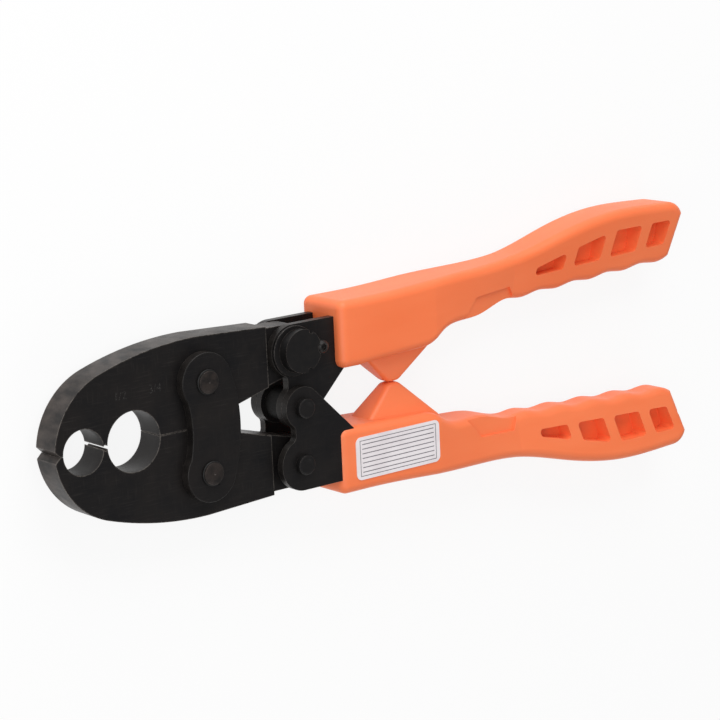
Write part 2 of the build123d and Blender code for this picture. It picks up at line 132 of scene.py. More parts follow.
class Recipe:
    """A material whose nodes are added one by one."""

    def __init__(self, name: str) -> None:
        """Starts an empty material with one surface shader.

        Args:
            name: Name of the material.
        """
        self.material = bpy.data.materials.new(name)
        self.material.use_nodes = True
        self.tree = self.material.node_tree
        self.tree.nodes.clear()
        self.output = self.tree.nodes.new("ShaderNodeOutputMaterial")
        self.shader = self.tree.nodes.new("ShaderNodeBsdfPrincipled")
        self.join(self.shader.outputs["BSDF"], self.output.inputs["Surface"])
        self.place = self.node("ShaderNodeTexCoord").outputs["Object"]

    def node(self, kind: str, **settings: object) -> bpy.types.Node:
        """Adds a node.

        Args:
            kind: Type name of the node.
            **settings: Properties to set on it.

        Returns:
            The new node.
        """
        made = self.tree.nodes.new(kind)
        for name, value in settings.items():
            setattr(made, name, value)
        return made

    def join(self, start: Socket, end: Socket) -> None:
        """Links one socket to another.

        Args:
            start: Socket that gives a value.
            end: Socket that takes it.
        """
        self.tree.links.new(start, end)

    def noise(self, per_mm: float, detail: float = 4.0, rough: float = 0.55) -> Socket:
        """Adds a noise in the object's own coordinates.

        Args:
            per_mm: Grains for each millimetre.
            detail: Octaves of the noise.
            rough: Weight of the finer octaves.

        Returns:
            The noise's factor.
        """
        made = self.node("ShaderNodeTexNoise")
        made.inputs["Scale"].default_value = per_mm / MM
        made.inputs["Detail"].default_value = detail
        made.inputs["Roughness"].default_value = rough
        self.join(self.place, made.inputs["Vector"])
        return made.outputs["Fac"]

    def stretched_noise(self, per_mm: Triple, detail: float = 3.0) -> Socket:
        """Adds a noise that is drawn out along some axes, as brushing and scratches are.

        Args:
            per_mm: Grains for each millimetre along X, Y and Z.
            detail: Octaves of the noise.

        Returns:
            The noise's factor.
        """
        mapping = self.node("ShaderNodeMapping")
        mapping.inputs["Scale"].default_value = [value / MM for value in per_mm]
        self.join(self.place, mapping.inputs["Vector"])
        made = self.node("ShaderNodeTexNoise")
        made.inputs["Scale"].default_value = 1.0
        made.inputs["Detail"].default_value = detail
        self.join(mapping.outputs["Vector"], made.inputs["Vector"])
        return made.outputs["Fac"]

    def rings(self, axis_mm: Pair, per_mm: float) -> Socket:
        """Adds fine rings round an upright axis, as a lathe tool leaves them.

        Args:
            axis_mm: Where the axis stands, in millimetres.
            per_mm: Rings for each millimetre of radius.

        Returns:
            A value that rises and falls from ring to ring.
        """
        mapping = self.node("ShaderNodeMapping")
        mapping.inputs["Location"].default_value = (-axis_mm[0] * MM, -axis_mm[1] * MM, 0.0)
        self.join(self.place, mapping.inputs["Vector"])
        made = self.node("ShaderNodeTexWave", wave_type="RINGS", rings_direction="Z")
        made.inputs["Scale"].default_value = per_mm / MM / math.pi
        made.inputs["Distortion"].default_value = 0.4
        self.join(mapping.outputs["Vector"], made.inputs["Vector"])
        return made.outputs["Fac"]

    def round_axis(self, axis_mm: Pair, reach_mm: float) -> Socket:
        """Marks what lies near an upright axis, such as the wall of a bore.

        Args:
            axis_mm: Where the axis stands, in millimetres.
            reach_mm: Distance within which the mark holds.

        Returns:
            A value of 1 within reach of the axis and 0 outside it.
        """
        flat = self.node("ShaderNodeVectorMath", operation="MULTIPLY")
        flat.inputs[1].default_value = (1.0, 1.0, 0.0)
        self.join(self.place, flat.inputs[0])
        gap = self.node("ShaderNodeVectorMath", operation="DISTANCE")
        gap.inputs[1].default_value = (axis_mm[0] * MM, axis_mm[1] * MM, 0.0)
        self.join(flat.outputs["Vector"], gap.inputs[0])
        return self.spread(gap.outputs["Value"], (reach_mm + 0.15) * MM, reach_mm * MM)

    def sides(self) -> Socket:
        """Tells the cut sides of a plate from its two flat faces.

        Returns:
            A value of 0 on the flat faces and 1 on the upright sides.
        """
        split = self.node("ShaderNodeSeparateXYZ")
        self.join(self.node("ShaderNodeTexCoord").outputs["Normal"], split.inputs["Vector"])
        upright = self.node("ShaderNodeMath", operation="ABSOLUTE")
        self.join(split.outputs["Z"], upright.inputs[0])
        return self.spread(upright.outputs[0], 0.75, 0.35)

    def spread(
        self, value: Socket, low: float, high: float, to_low: float = 0.0, to_high: float = 1.0
    ) -> Socket:
        """Stretches a value from one range to another.

        Args:
            value: Socket that gives the value.
            low: Value that becomes to_low.
            high: Value that becomes to_high.
            to_low: Result at the low end.
            to_high: Result at the high end.

        Returns:
            The stretched value, held within its range.
        """
        made = self.node("ShaderNodeMapRange", clamp=True)
        made.inputs["From Min"].default_value = low
        made.inputs["From Max"].default_value = high
        made.inputs["To Min"].default_value = to_low
        made.inputs["To Max"].default_value = to_high
        self.join(value, made.inputs["Value"])
        return made.outputs["Result"]

    def times(self, first: Socket, second: Socket) -> Socket:
        """Multiplies two values.

        Args:
            first: One value.
            second: The other value.

        Returns:
            Their product.
        """
        made = self.node("ShaderNodeMath", operation="MULTIPLY")
        self.join(first, made.inputs[0])
        self.join(second, made.inputs[1])
        return made.outputs[0]

    def most(self, first: Socket, second: Socket) -> Socket:
        """Compares two values.

        Args:
            first: One value.
            second: The other value.

        Returns:
            The larger of the two.
        """
        made = self.node("ShaderNodeMath", operation="MAXIMUM")
        self.join(first, made.inputs[0])
        self.join(second, made.inputs[1])
        return made.outputs[0]

    def blend(
        self, share: Socket, first: Colour | Socket, second: Colour | Socket
    ) -> Socket:
        """Mixes two colours.

        Args:
            share: How much of the second colour shows.
            first: Colour at a share of 0.
            second: Colour at a share of 1.

        Returns:
            The mixed colour.
        """
        made = self.node("ShaderNodeMix", data_type="RGBA")
        self.join(share, made.inputs[0])
        for socket, colour in ((made.inputs[6], first), (made.inputs[7], second)):
            if isinstance(colour, tuple):
                socket.default_value = rgba(colour)
            else:
                self.join(colour, socket)
        return made.outputs[2]

    def edge(self, width_mm: float) -> Socket:
        """Finds sharp edges by comparing the surface with a rounded copy of itself.

        Args:
            width_mm: Reach of the edge, in millimetres.

        Returns:
            A value that rises from 0 on flat ground towards 1 on an edge.
        """
        rounded = self.node("ShaderNodeBevel", samples=6)
        rounded.inputs["Radius"].default_value = width_mm * MM
        flat = self.node("ShaderNodeNewGeometry")
        dot = self.node("ShaderNodeVectorMath", operation="DOT_PRODUCT")
        self.join(rounded.outputs["Normal"], dot.inputs[0])
        self.join(flat.outputs["Normal"], dot.inputs[1])
        return self.spread(dot.outputs["Value"], 0.995, 0.8)

    def give(self, name: str, value: Socket | float) -> None:
        """Sets an input of the surface shader.

        Args:
            name: Name of the input.
            value: Socket that feeds it, or a number that holds everywhere.
        """
        if isinstance(value, float):
            self.shader.inputs[name].default_value = value
        else:
            self.join(value, self.shader.inputs[name])

    def bump(self, height: Socket, depth_mm: float, strength: float = 1.0) -> None:
        """Raises the surface by a height field, on top of the bumps that are there.

        Args:
            height: Socket that gives the height.
            depth_mm: Depth in millimetres.
            strength: Share of the effect that is used.
        """
        made = self.node("ShaderNodeBump")
        made.inputs["Distance"].default_value = depth_mm * MM
        made.inputs["Strength"].default_value = strength
        self.join(height, made.inputs["Height"])
        before = self.shader.inputs["Normal"]
        if before.is_linked:
            self.join(before.links[0].from_socket, made.inputs["Normal"])
        self.join(made.outputs["Normal"], before)


class Finish:
    """A finish that mixes its own material from named colours."""

    name: str

    def mix(self, recipe: Recipe) -> None:
        """Fills the material. Each finish has its own way.

        Args:
            recipe: The material to fill.
        """
        raise NotImplementedError

    def material(self) -> Paint:
        """Makes the material.

        Returns:
            The finished material.
        """
        recipe = Recipe(self.name)
        self.mix(recipe)
        return recipe.material


@dataclass(frozen=True)
class BlackOxide(Finish):
    """Blackened steel: dark ground faces, paler brown cut sides, edges rubbed bright by wear and as a
    painted highlight, and painted shade on the walls of any bores listed.
    """

    name: str = "black_oxide"
    dark: Colour = (0.0055, 0.0052, 0.0060)
    pale: Colour = (0.0150, 0.0128, 0.0122)
    side: Colour = (0.062, 0.050, 0.044)
    side_dark: Colour = (0.013, 0.011, 0.0105)
    # Edge colour and its strength: real wear on the edges, also laid on as a painted edge highlight.
    rubbed: Colour = (0.34, 0.30, 0.27)
    edge_wear_and_highlight: float = 0.62
    edge_mm: float = 0.8
    gloss: Pair = (0.34, 0.5)
    # Painted shade: the darker colour of the die bore walls, which lie in shade inside the jaws.
    bore_shade: Colour = (0.0115, 0.0094, 0.0088)
    bores: tuple[Triple, ...] = ()

    def mix(self, recipe: Recipe) -> None:
        """Mixes the colours, the gloss and the relief.

        Args:
            recipe: The material to fill.
        """
        mottle = recipe.spread(recipe.noise(0.06, 6.0, 0.62), 0.35, 0.68)
        cloud = recipe.blend(mottle, self.dark, self.pale)
        streak = recipe.spread(recipe.stretched_noise((0.22, 0.22, 0.12), 6.0), 0.36, 0.64)
        flank = recipe.blend(streak, self.side_dark, self.side)
        # Paints shade onto the walls of the listed bores.
        for reach, height, radius in self.bores:
            flank = recipe.blend(recipe.round_axis((reach, height), radius + 0.1), flank, self.bore_shade)
        body = recipe.blend(recipe.sides(), cloud, flank)
        # Brightens sharp edges: real wear plus a painted edge highlight.
        patchy = recipe.spread(recipe.noise(0.5, 5.0, 0.7), 0.34, 0.58)
        edge = recipe.times(recipe.edge(self.edge_mm), patchy)
        along = recipe.spread(recipe.stretched_noise((0.09, 3.4, 3.4), 4.0), 0.58, 0.85, 0.0, 0.10)
        across = recipe.spread(recipe.stretched_noise((3.1, 0.12, 3.1), 4.0), 0.6, 0.85, 0.0, 0.08)
        scratch = recipe.most(along, across)
        wear = recipe.most(recipe.spread(edge, 0.0, 1.0, 0.0, self.edge_wear_and_highlight), scratch)
        recipe.give("Base Color", recipe.blend(wear, body, self.rubbed))
        recipe.give("Roughness", recipe.spread(mottle, 0.0, 1.0, self.gloss[1], self.gloss[0]))
        recipe.give("Metallic", recipe.spread(wear, 0.0, 1.0, 0.35, 0.9))
        recipe.give("Specular IOR Level", 0.3)
        recipe.bump(recipe.noise(1.1, 5.0, 0.7), 0.05, 0.45)
        recipe.bump(recipe.noise(0.12, 3.0, 0.5), 0.12, 0.3)


@dataclass(frozen=True)
class SpringSteel(Finish):
    """Phosphated spring steel with a fine dull grain."""

    name: str = "phosphate_spring"
    dark: Colour = (0.012, 0.0118, 0.012)
    pale: Colour = (0.035, 0.033, 0.032)

    def mix(self, recipe: Recipe) -> None:
        """Mixes the colours, the gloss and the relief.

        Args:
            recipe: The material to fill.
        """
        grain = recipe.spread(recipe.noise(2.4, 4.0, 0.6), 0.4, 0.62)
        edge = recipe.times(recipe.edge(0.2), grain)
        recipe.give("Base Color", recipe.blend(edge, self.dark, self.pale))
        recipe.give("Roughness", recipe.spread(grain, 0.0, 1.0, 0.6, 0.42))
        recipe.give("Metallic", 0.4)
        recipe.bump(grain, 0.03, 0.5)


@dataclass(frozen=True)
class MouldedPlastic(Finish):
    """Satin orange plastic with a fine moulded grain and faint flow marks."""

    name: str = "orange_moulding"
    main: Colour = (0.93, 0.192, 0.062)
    warm: Colour = (0.97, 0.225, 0.082)
    scuff: Colour = (1.0, 0.34, 0.19)

    def mix(self, recipe: Recipe) -> None:
        """Mixes the colours, the gloss and the relief.

        Args:
            recipe: The material to fill.
        """
        flow = recipe.spread(recipe.stretched_noise((0.012, 0.05, 0.05), 3.0), 0.35, 0.68)
        body = recipe.blend(flow, self.main, self.warm)
        patchy = recipe.spread(recipe.noise(0.25, 5.0, 0.65), 0.45, 0.7)
        rubbed = recipe.spread(recipe.times(recipe.edge(1.2), patchy), 0.0, 1.0, 0.0, 0.35)
        recipe.give("Base Color", recipe.blend(rubbed, body, self.scuff))
        grain = recipe.noise(3.0, 3.0, 0.5)
        recipe.give("Roughness", recipe.spread(grain, 0.3, 0.7, 0.5, 0.4))
        recipe.give("Specular IOR Level", 0.42)
        recipe.give("Subsurface Weight", 0.06)
        recipe.give("Subsurface Scale", 2 * MM)
        recipe.bump(grain, 0.02, 0.45)
        recipe.bump(recipe.noise(0.08, 3.0, 0.5), 0.15, 0.3)


@dataclass(frozen=True)
class WhiteFilm(Finish):
    """White write-on film, a little stained and lifted into faint waves."""

    name: str = "white_film"
    paper: Colour = (0.86, 0.81, 0.83)
    stain: Colour = (0.76, 0.70, 0.72)

    def mix(self, recipe: Recipe) -> None:
        """Mixes the colours, the gloss and the relief.

        Args:
            recipe: The material to fill.
        """
        cloud = recipe.spread(recipe.noise(0.08, 4.0, 0.6), 0.4, 0.7)
        specks = recipe.spread(recipe.noise(1.2, 3.0, 0.6), 0.66, 0.74, 0.0, 0.5)
        share = recipe.most(cloud, specks)
        recipe.give("Base Color", recipe.blend(share, self.paper, self.stain))
        recipe.give("Roughness", recipe.spread(cloud, 0.0, 1.0, 0.36, 0.5))
        recipe.bump(recipe.noise(0.25, 2.0, 0.5), 0.03, 0.4)


@dataclass(frozen=True)
class TurnedSteel(Finish):
    """Blackened turned steel with fine rings round its own axis, brown where hands have rubbed it."""

    name: str
    axis_mm: Pair
    dark: Colour = (0.0070, 0.0064, 0.0068)
    brown: Colour = (0.0135, 0.0118, 0.0115)
    rubbed: Colour = (0.24, 0.20, 0.18)
    edge_mm: float = 0.3

    def mix(self, recipe: Recipe) -> None:
        """Mixes the colours, the gloss and the relief.

        Args:
            recipe: The material to fill.
        """
        rings = recipe.rings(self.axis_mm, 1.6)
        mottle = recipe.spread(recipe.noise(0.3, 4.0, 0.6), 0.36, 0.7)
        body = recipe.blend(mottle, self.dark, self.brown)
        grain = recipe.spread(recipe.noise(1.6, 4.0, 0.7), 0.36, 0.6)
        wear = recipe.spread(recipe.times(recipe.edge(self.edge_mm), grain), 0.0, 1.0, 0.0, 0.85)
        recipe.give("Base Color", recipe.blend(wear, body, self.rubbed))
        recipe.give("Roughness", recipe.spread(mottle, 0.0, 1.0, 0.5, 0.36))
        recipe.give("Metallic", recipe.spread(wear, 0.0, 1.0, 0.45, 0.9))
        recipe.give("Specular IOR Level", 0.4)
        recipe.bump(rings, 0.012, 0.5)
        recipe.bump(recipe.noise(1.4, 4.0, 0.7), 0.03, 0.4)


@dataclass(frozen=True)
class PrintedInk(Finish):
    """Dark grey printing ink, broken up a little where it has rubbed off."""

    name: str = "printed_ink"
    ink: Colour = (0.085, 0.08, 0.09)
    faded: Colour = (0.24, 0.23, 0.25)

    def mix(self, recipe: Recipe) -> None:
        """Mixes the colours, the gloss and the relief.

        Args:
            recipe: The material to fill.
        """
        rubbed = recipe.spread(recipe.noise(1.5, 4.0, 0.65), 0.42, 0.68)
        recipe.give("Base Color", recipe.blend(rubbed, self.ink, self.faded))
        recipe.give("Roughness", recipe.spread(rubbed, 0.0, 1.0, 0.42, 0.6))
        recipe.bump(recipe.noise(3.0, 2.0, 0.5), 0.01, 0.4)


@dataclass(frozen=True)
class StampedMark(Finish):
    """The floor of a mark stamped in blackened steel, dull with a few bright flecks."""

    name: str = "stamped_mark"
    floor: Colour = (0.006, 0.0056, 0.0056)
    fleck: Colour = (0.085, 0.078, 0.074)

    def mix(self, recipe: Recipe) -> None:
        """Mixes the colours, the gloss and the relief.

        Args:
            recipe: The material to fill.
        """
        flecks = recipe.spread(recipe.noise(2.2, 4.0, 0.7), 0.5, 0.64)
        recipe.give("Base Color", recipe.blend(flecks, self.floor, self.fleck))
        recipe.give("Roughness", recipe.spread(flecks, 0.0, 1.0, 0.7, 0.4))
        recipe.give("Metallic", 0.4)
        recipe.bump(flecks, 0.02, 0.5)


@dataclass(frozen=True)
class PaleGround(Finish):
    """A plain white floor that shows white to the camera and keeps a soft shadow."""

    name: str = "pale_ground"
    colour: Colour = (0.88, 0.88, 0.88)
    patch: Colour = (0.9, 0.9, 0.9)
    glow: float = 0.88

    def mix(self, recipe: Recipe) -> None:
        """Mixes the colours, the gloss and the relief.

        Args:
            recipe: The material to fill.
        """
        grain = recipe.spread(recipe.noise(0.01, 2.0, 0.4), 0.3, 0.7)
        recipe.give("Base Color", recipe.blend(grain, self.colour, self.patch))
        recipe.give("Roughness", 0.9)
        recipe.give("Specular IOR Level", 0.1)
        light = recipe.node("ShaderNodeEmission")
        light.inputs["Strength"].default_value = 1.0
        rays = recipe.node("ShaderNodeLightPath")
        share = recipe.node("ShaderNodeMath", operation="MULTIPLY")
        share.inputs[1].default_value = self.glow
        recipe.join(
            recipe.most(rays.outputs["Is Camera Ray"], rays.outputs["Is Glossy Ray"]), share.inputs[0]
        )
        mixed = recipe.node("ShaderNodeMixShader")
        recipe.join(share.outputs[0], mixed.inputs["Fac"])
        recipe.join(recipe.shader.outputs["BSDF"], mixed.inputs[1])
        recipe.join(light.outputs["Emission"], mixed.inputs[2])
        recipe.join(mixed.outputs["Shader"], recipe.output.inputs["Surface"])


@dataclass
class Paints:
    """Every finish that several pieces share, made once."""

    # The jaws carry painted shade on the walls of their two die bores.
    jaw: Paint = field(
        default_factory=lambda: BlackOxide(bores=((0.0, 0.0, 12.1), (-22.9, 0.0, 9.0))).material()
    )
    plate: Paint = field(
        default_factory=lambda: BlackOxide(
            name="black_plate", side=(0.03, 0.026, 0.024), rubbed=(0.20, 0.18, 0.165), edge_mm=0.5
        ).material()
    )
    # Painted shade: the spacer sleeves sit in the shade between the plates, so their sides are painted
    # much darker.
    shaded_sleeve: Paint = field(
        default_factory=lambda: BlackOxide(
            name="black_sleeve_painted_shade",
            side=(0.008, 0.007, 0.0068),
            side_dark=(0.0045, 0.0042, 0.0042),
            edge_mm=0.25,
            gloss=(0.55, 0.68),
        ).material()
    )
    spring: Paint = field(default_factory=lambda: SpringSteel().material())
    grip: Paint = field(default_factory=lambda: MouldedPlastic().material())
    film: Paint = field(default_factory=lambda: WhiteFilm().material())
    ink: Paint = field(default_factory=lambda: PrintedInk().material())
    mark: Paint = field(default_factory=lambda: StampedMark().material())
    ground: Paint = field(default_factory=lambda: PaleGround().material())


class Bench:
    """Ways of modelling that every piece shares."""

    @staticmethod
    def clear() -> None:
        """Leaves edit mode and deselects everything."""
        if bpy.context.mode != "OBJECT":
            bpy.ops.object.mode_set(mode="OBJECT")
        bpy.ops.object.select_all(action="DESELECT")

    @staticmethod
    def pick(piece: Piece) -> None:
        """Makes one object the active and only selected one.

        Args:
            piece: The object.
        """
        Bench.clear()
        piece.select_set(True)
        bpy.context.view_layer.objects.active = piece

    @staticmethod
    def edit(piece: Piece, mode: str = "FACE") -> None:
        """Opens an object in edit mode with nothing selected.

        Args:
            piece: The object.
            mode: Kind of element to select: VERT, EDGE or FACE.
        """
        Bench.pick(piece)
        bpy.ops.object.mode_set(mode="EDIT")
        bpy.ops.mesh.select_mode(type=mode)
        bpy.ops.mesh.select_all(action="DESELECT")

    @staticmethod
    def select_faces(piece: Piece, wanted: Callable[[bpy.types.MeshPolygon], bool]) -> int:
        """Selects faces in edit mode by a test of each one.

        Args:
            piece: The object in edit mode.
            wanted: Test that says which faces to select.

        Returns:
            How many faces were selected.
        """
        bpy.ops.mesh.select_all(action="DESELECT")
        bpy.ops.object.mode_set(mode="OBJECT")
        chosen = [face for face in piece.data.polygons if wanted(face)]
        for face in chosen:
            face.select = True
        bpy.ops.object.mode_set(mode="EDIT")
        return len(chosen)

    @staticmethod
    def bake(piece: Piece, kind: str, **settings: object) -> None:
        """Adds a modifier and applies it.

        Args:
            piece: The object.
            kind: Type of the modifier.
            **settings: Properties to set on it.
        """
        Bench.pick(piece)
        step = piece.modifiers.new(kind.lower(), kind)
        for name, value in settings.items():
            setattr(step, name, value)
        bpy.ops.object.modifier_apply(modifier=step.name)

    @staticmethod
    def cut(piece: Piece, tool: Piece) -> None:
        """Takes one shape out of another and removes the tool.

        Args:
            piece: The object that is cut.
            tool: The shape that is taken out.
        """
        Bench.bake(piece, "BOOLEAN", operation="DIFFERENCE", object=tool, solver="EXACT")
        bpy.data.objects.remove(tool)

    @staticmethod
    def soften(piece: Piece, width_mm: float, segments: int = 2, angle_deg: float = 35.0) -> None:
        """Rounds the sharp edges of a piece.

        Args:
            piece: The object.
            width_mm: Width of the rounding.
            segments: Steps across it.
            angle_deg: Smallest angle of an edge that is rounded.
        """
        Bench.bake(
            piece,
            "BEVEL",
            width=width_mm * MM,
            segments=segments,
            limit_method="ANGLE",
            angle_limit=math.radians(angle_deg),
        )

    @staticmethod
    def panel(middle: Vector, width_mm: float, height_mm: float) -> Piece:
        """Lays a flat rectangle and opens it in edit mode with its face selected.

        Args:
            middle: Its middle, in metres.
            width_mm: Its width along X.
            height_mm: Its height along Y.

        Returns:
            The rectangle.
        """
        Bench.clear()
        bpy.ops.mesh.primitive_plane_add(size=1.0, location=middle)
        piece = bpy.context.active_object
        piece.scale = (width_mm * MM, height_mm * MM, 1.0)
        bpy.ops.object.transform_apply(location=True, rotation=True, scale=True)
        Bench.edit(piece)
        bpy.ops.mesh.select_all(action="SELECT")
        return piece

    @staticmethod
    def post(place: Pair, middle_mm: float, radius_mm: float, depth_mm: float, sides: int = 32) -> Piece:
        """Stands an upright cylinder as a cutting tool.

        Args:
            place: Where its axis stands, in millimetres.
            middle_mm: Height of its middle.
            radius_mm: Its radius.
            depth_mm: Its length.
            sides: Flat sides round it.

        Returns:
            The cylinder.
        """
        Bench.clear()
        bpy.ops.mesh.primitive_cylinder_add(
            vertices=sides,
            radius=radius_mm * MM,
            depth=depth_mm * MM,
            location=(place[0] * MM, place[1] * MM, middle_mm * MM),
        )
        return bpy.context.active_object

    @staticmethod
    def join(parts: Sequence[Piece]) -> Piece:
        """Joins several objects into the first of them.

        Args:
            parts: The objects.

        Returns:
            The joined object.
        """
        Bench.clear()
        for part in parts:
            part.select_set(True)
        bpy.context.view_layer.objects.active = parts[0]
        bpy.ops.object.join()
        return bpy.context.view_layer.objects.active

    @staticmethod
    def settle(
        piece: Piece,
        name: str,
        body: Body,
        slot: Slot,
        paint: Paint,
        stands_for: Sequence[str] = (),
    ) -> Piece:
        """Finishes a piece: place in its mesh, faces outwards, finish and body.

        Args:
            piece: The modelled object.
            name: Its name.
            body: Body that it rides on.
            slot: The record's slot of its finish; not used.
            paint: Its material.
            stands_for: CAD nodes that it replaces.

        Returns:
            The finished piece.
        """
        Bench.pick(piece)
        bpy.ops.object.transform_apply(location=True, rotation=True, scale=True)
        Bench.edit(piece)
        bpy.ops.mesh.select_all(action="SELECT")
        bpy.ops.mesh.remove_doubles(threshold=WELD_M)
        bpy.ops.mesh.normals_make_consistent(inside=False)
        Bench.pick(piece)
        bpy.ops.object.shade_smooth_by_angle(angle=math.radians(SMOOTH_DEG))
        piece.name = name
        piece.data.name = name
        piece.data.materials.clear()
        piece.data.materials.append(paint)
        if stands_for:
            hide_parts(*stands_for)
        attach(piece, body.value)
        LOG.info("made %s on %s: %d faces", name, body.value, len(piece.data.polygons))
        Bench.clear()
        return piece


@dataclass(frozen=True)
class Turning:
    """A round shape drawn up from a disc, level by level.

    Each level is a radius and a height, and a shift along X where there is one, in millimetres.
    """

    axis_mm: Pair
    levels: tuple[Pair | Triple, ...]
    sides: int = 64

    def shape(self) -> Piece:
        """Models the raw shape.

        Returns:
            The shape, not yet finished.
        """
        Bench.clear()
        radius, height, shift, *_ = (*self.levels[0], 0.0)
        place = Vector((self.axis_mm[0] + shift, self.axis_mm[1], height)) * MM
        bpy.ops.mesh.primitive_circle_add(
            vertices=self.sides, radius=radius * MM, fill_type="NGON", location=place
        )
        piece = bpy.context.active_object
        bpy.ops.object.mode_set(mode="EDIT")
        bpy.ops.mesh.select_mode(type="FACE")
        bpy.ops.mesh.select_all(action="SELECT")
        for level in self.levels[1:]:
            new_radius, new_height, new_shift, *_ = (*level, 0.0)
            step = Vector((new_shift - shift, 0.0, new_height - height)) * MM
            bpy.ops.mesh.extrude_region_move(TRANSFORM_OT_translate={"value": step})
            place = place + step
            share = new_radius / radius
            bpy.ops.transform.resize(value=(share, share, 1.0), center_override=place)
            radius, height, shift = new_radius, new_height, new_shift
        Bench.clear()
        return piece


@dataclass(frozen=True)
class SnapRing:
    """An open spring ring of round wire with two small turned-out ends."""

    axis_mm: Pair
    middle_mm: float
    height_mm: float
    wire_mm: float = 0.42
    mouth_deg: float = -90.0
    opening_deg: float = 34.0
    ear_mm: float = 0.75
    wire_sides: int = 12
    steps: int = 44

    def shape(self) -> Piece:
        """Models the raw shape.

        Returns:
            The shape, not yet finished.
        """
        Bench.clear()
        start = math.radians(self.mouth_deg + self.opening_deg / 2)
        sweep = math.radians(360.0 - self.opening_deg)
        centre = Vector((*self.axis_mm, self.height_mm)) * MM
        spoke = Vector((math.cos(start), math.sin(start), 0.0))
        bpy.ops.mesh.primitive_circle_add(
            vertices=self.wire_sides,
            radius=self.wire_mm * MM,
            fill_type="NGON",
            location=centre + spoke * self.middle_mm * MM,
            rotation=(math.pi / 2, 0.0, start),
        )
        piece = bpy.context.active_object
        bpy.ops.object.transform_apply(location=True, rotation=True, scale=True)
        Bench.edit(piece)
        bpy.ops.mesh.select_all(action="SELECT")
        bpy.ops.mesh.spin(steps=self.steps, angle=sweep, center=centre, axis=(0.0, 0.0, 1.0))
        for turn in (start, start + sweep):
            spoke = Vector((math.cos(turn), math.sin(turn), 0.0))
            end = centre + spoke * self.middle_mm * MM
            found = Bench.select_faces(
                piece,
                lambda face, end=end: len(face.vertices) == self.wire_sides
                and (face.center - end).length < 0.1 * MM,
            )
            if found:
                bpy.ops.mesh.extrude_region_move(
                    TRANSFORM_OT_translate={"value": spoke * self.ear_mm * MM}
                )
        Bench.clear()
        return piece


@dataclass(frozen=True)
class Lettering:
    """Plain figures, made a thin solid on a face that looks up."""

    words: str
    place_mm: Triple
    tall_mm: float
    thick_mm: float = 0.04
    size_for_height: float = 1.4

    def shape(self) -> Piece:
        """Models the raw shape.

        Returns:
            The shape, not yet finished.
        """
        Bench.clear()
        bpy.ops.object.text_add(location=(0.0, 0.0, 0.0))
        piece = bpy.context.active_object
        piece.data.body = self.words
        piece.data.size = self.tall_mm * MM * self.size_for_height
        piece.data.extrude = self.thick_mm * MM / 2
        piece.data.resolution_u = 4
        piece.data.align_x = "CENTER"
        piece.data.align_y = "CENTER"
        bpy.ops.object.convert(target="MESH")
        piece = bpy.context.active_object
        piece.location = Vector(self.place_mm) * MM
        return piece


def dress(nodes: Nodes, paints: Paints) -> None:
    """Gives the CAD nodes that stay in sight their finish.

    Args:
        nodes: Every CAD node by name.
        paints: The shared finishes.
    """
    sides = ("near", "far")
    plates = [f"{side}_{kind}_plate" for kind in ("link", "upper_lever", "lower_lever") for side in sides]
    for paint, names in (
        (paints.jaw, ("upper_jaw", "lower_jaw")),
        (paints.plate, plates),
        # The spacers get the sleeve finish, which carries painted shade.
        (paints.shaded_sleeve, ("near_jaw_pin_spacer", "far_jaw_pin_spacer", "centre_spacer")),
        (paints.grip, ("upper_grip", "lower_grip")),
        (paints.film, ("write_on_plate",)),
    ):
        for name in names:
            mesh = nodes[name].data
            mesh.materials.clear()
            mesh.materials.append(paint)
            LOG.info("dressed %s with %s", name, paint.name)


@dataclass
class Jaws:
    """Both jaws with their stamped sizes."""

    paints: Paints
    face_mm: float = 6.75
    mark_lift_mm: float = 0.01
    mark_tall_mm: float = 3.4
    small_mark_mm: Pair = (-5.0, 18.6)
    large_mark_mm: Pair = (11.0, 18.9)

    def stamps(self) -> None:
        """Stamps the two ring sizes on the upper jaw."""
        for name, words, place in (
            ("small_die_mark", "1/2", self.small_mark_mm),
            ("large_die_mark", "3/4", self.large_mark_mm),
        ):
            mark = Lettering(words, (*place, self.face_mm + self.mark_lift_mm), self.mark_tall_mm).shape()
            Bench.settle(mark, name, Body.UPPER_JAW, Slot.BLACK_STEEL, self.paints.mark)


